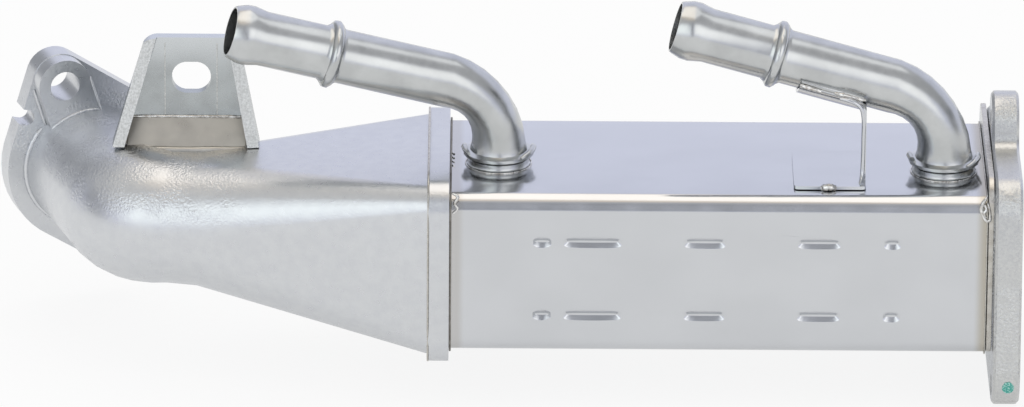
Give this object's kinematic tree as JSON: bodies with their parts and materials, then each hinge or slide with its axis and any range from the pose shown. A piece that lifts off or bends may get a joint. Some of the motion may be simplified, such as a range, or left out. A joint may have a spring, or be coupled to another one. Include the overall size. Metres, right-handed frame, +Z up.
{
  "type": "egr cooler",
  "caption": "Exhaust gas cooler: sheet case with finned flat tubes, cast inlet cone and elbow, bolting flanges, bent coolant pipes.",
  "frame": {"origin": "centre of the gas outlet port, on the outlet flange's outer face", "axes": "+X runs along the case and out of the outlet flange, +Y away from the front, +Z up towards the coolant pipes"},
  "size_m": [0.3025, 0.1072, 0.117],
  "materials": {
    "cast_steel": "cast stainless, satin and slightly grainy",
    "rolled_stainless": "bright rolled stainless sheet",
    "plate_steel": "pressed stainless plate, satin",
    "drawn_stainless": "drawn stainless tube, bright",
    "core_steel": "brazed stainless, dull"
  },
  "bodies": {
    "root": {"inlet_cone": "cast_steel", "outlet_flange": "cast_steel", "cooler_case": "rolled_stainless", "slotted_bracket": "plate_steel", "pipe_strap": "plate_steel", "inlet_header_plate": "plate_steel", "outlet_header_plate": "plate_steel", "coolant_inlet_pipe": "drawn_stainless", "coolant_outlet_pipe": "drawn_stainless", "inlet_pipe_socket": "drawn_stainless", "outlet_pipe_socket": "drawn_stainless", "gas_tube_1_lower": "core_steel", "gas_fin_1_lower": "core_steel", "gas_tube_1_upper": "core_steel", "gas_fin_1_upper": "core_steel", "gas_tube_2_lower": "core_steel", "gas_fin_2_lower": "core_steel", "gas_tube_2_upper": "core_steel", "gas_fin_2_upper": "core_steel", "gas_tube_3_lower": "core_steel", "gas_fin_3_lower": "core_steel", "gas_tube_3_upper": "core_steel", "gas_fin_3_upper": "core_steel", "gas_tube_4_lower": "core_steel", "gas_fin_4_lower": "core_steel", "gas_tube_4_upper": "core_steel", "gas_fin_4_upper": "core_steel", "gas_tube_5_lower": "core_steel", "gas_fin_5_lower": "core_steel", "gas_tube_5_upper": "core_steel", "gas_fin_5_upper": "core_steel", "gas_tube_6_lower": "core_steel", "gas_fin_6_lower": "core_steel", "gas_tube_6_upper": "core_steel", "gas_fin_6_upper": "core_steel"}
  },
  "joints": []
}
